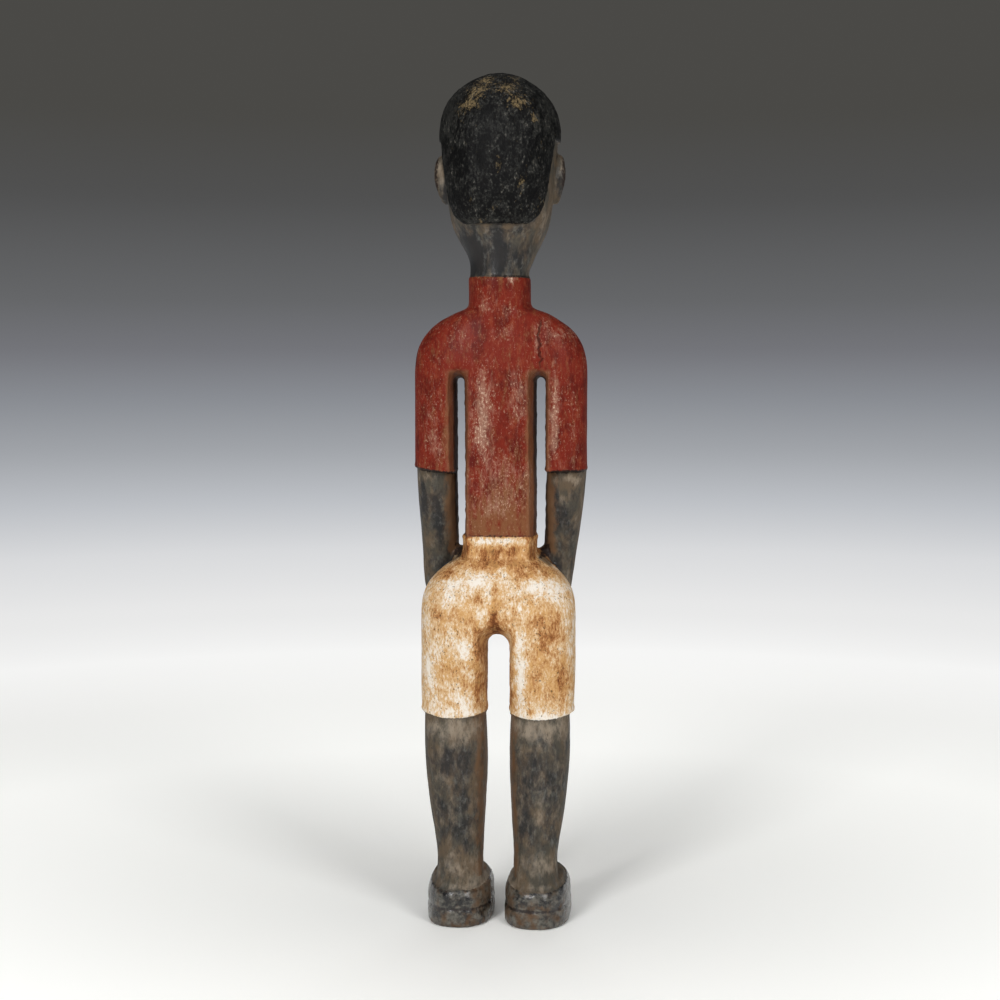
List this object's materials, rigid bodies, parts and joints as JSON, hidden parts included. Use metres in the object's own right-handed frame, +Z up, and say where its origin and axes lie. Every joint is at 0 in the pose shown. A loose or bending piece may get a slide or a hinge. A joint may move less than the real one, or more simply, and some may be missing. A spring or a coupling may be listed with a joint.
{
  "type": "spirit spouse figure",
  "caption": "Standing figure carved from a block of wood and painted, in short-sleeved shirt, shorts and shoes, with its hands laid on its thighs. Stands on its own soles.",
  "frame": {"origin": "on the ground, below the middle of the figure's box", "axes": "+Z up, the figure faces -Y, its right hand is on the -X side"},
  "size_m": [0.1224, 0.1012, 0.6],
  "materials": {
    "painted_wood": "worn paint on carved wood: black hair, shoes and skin, red shirt, cream shorts"
  },
  "bodies": {
    "root": {"spirit_spouse_figure": "painted_wood"}
  },
  "joints": []
}
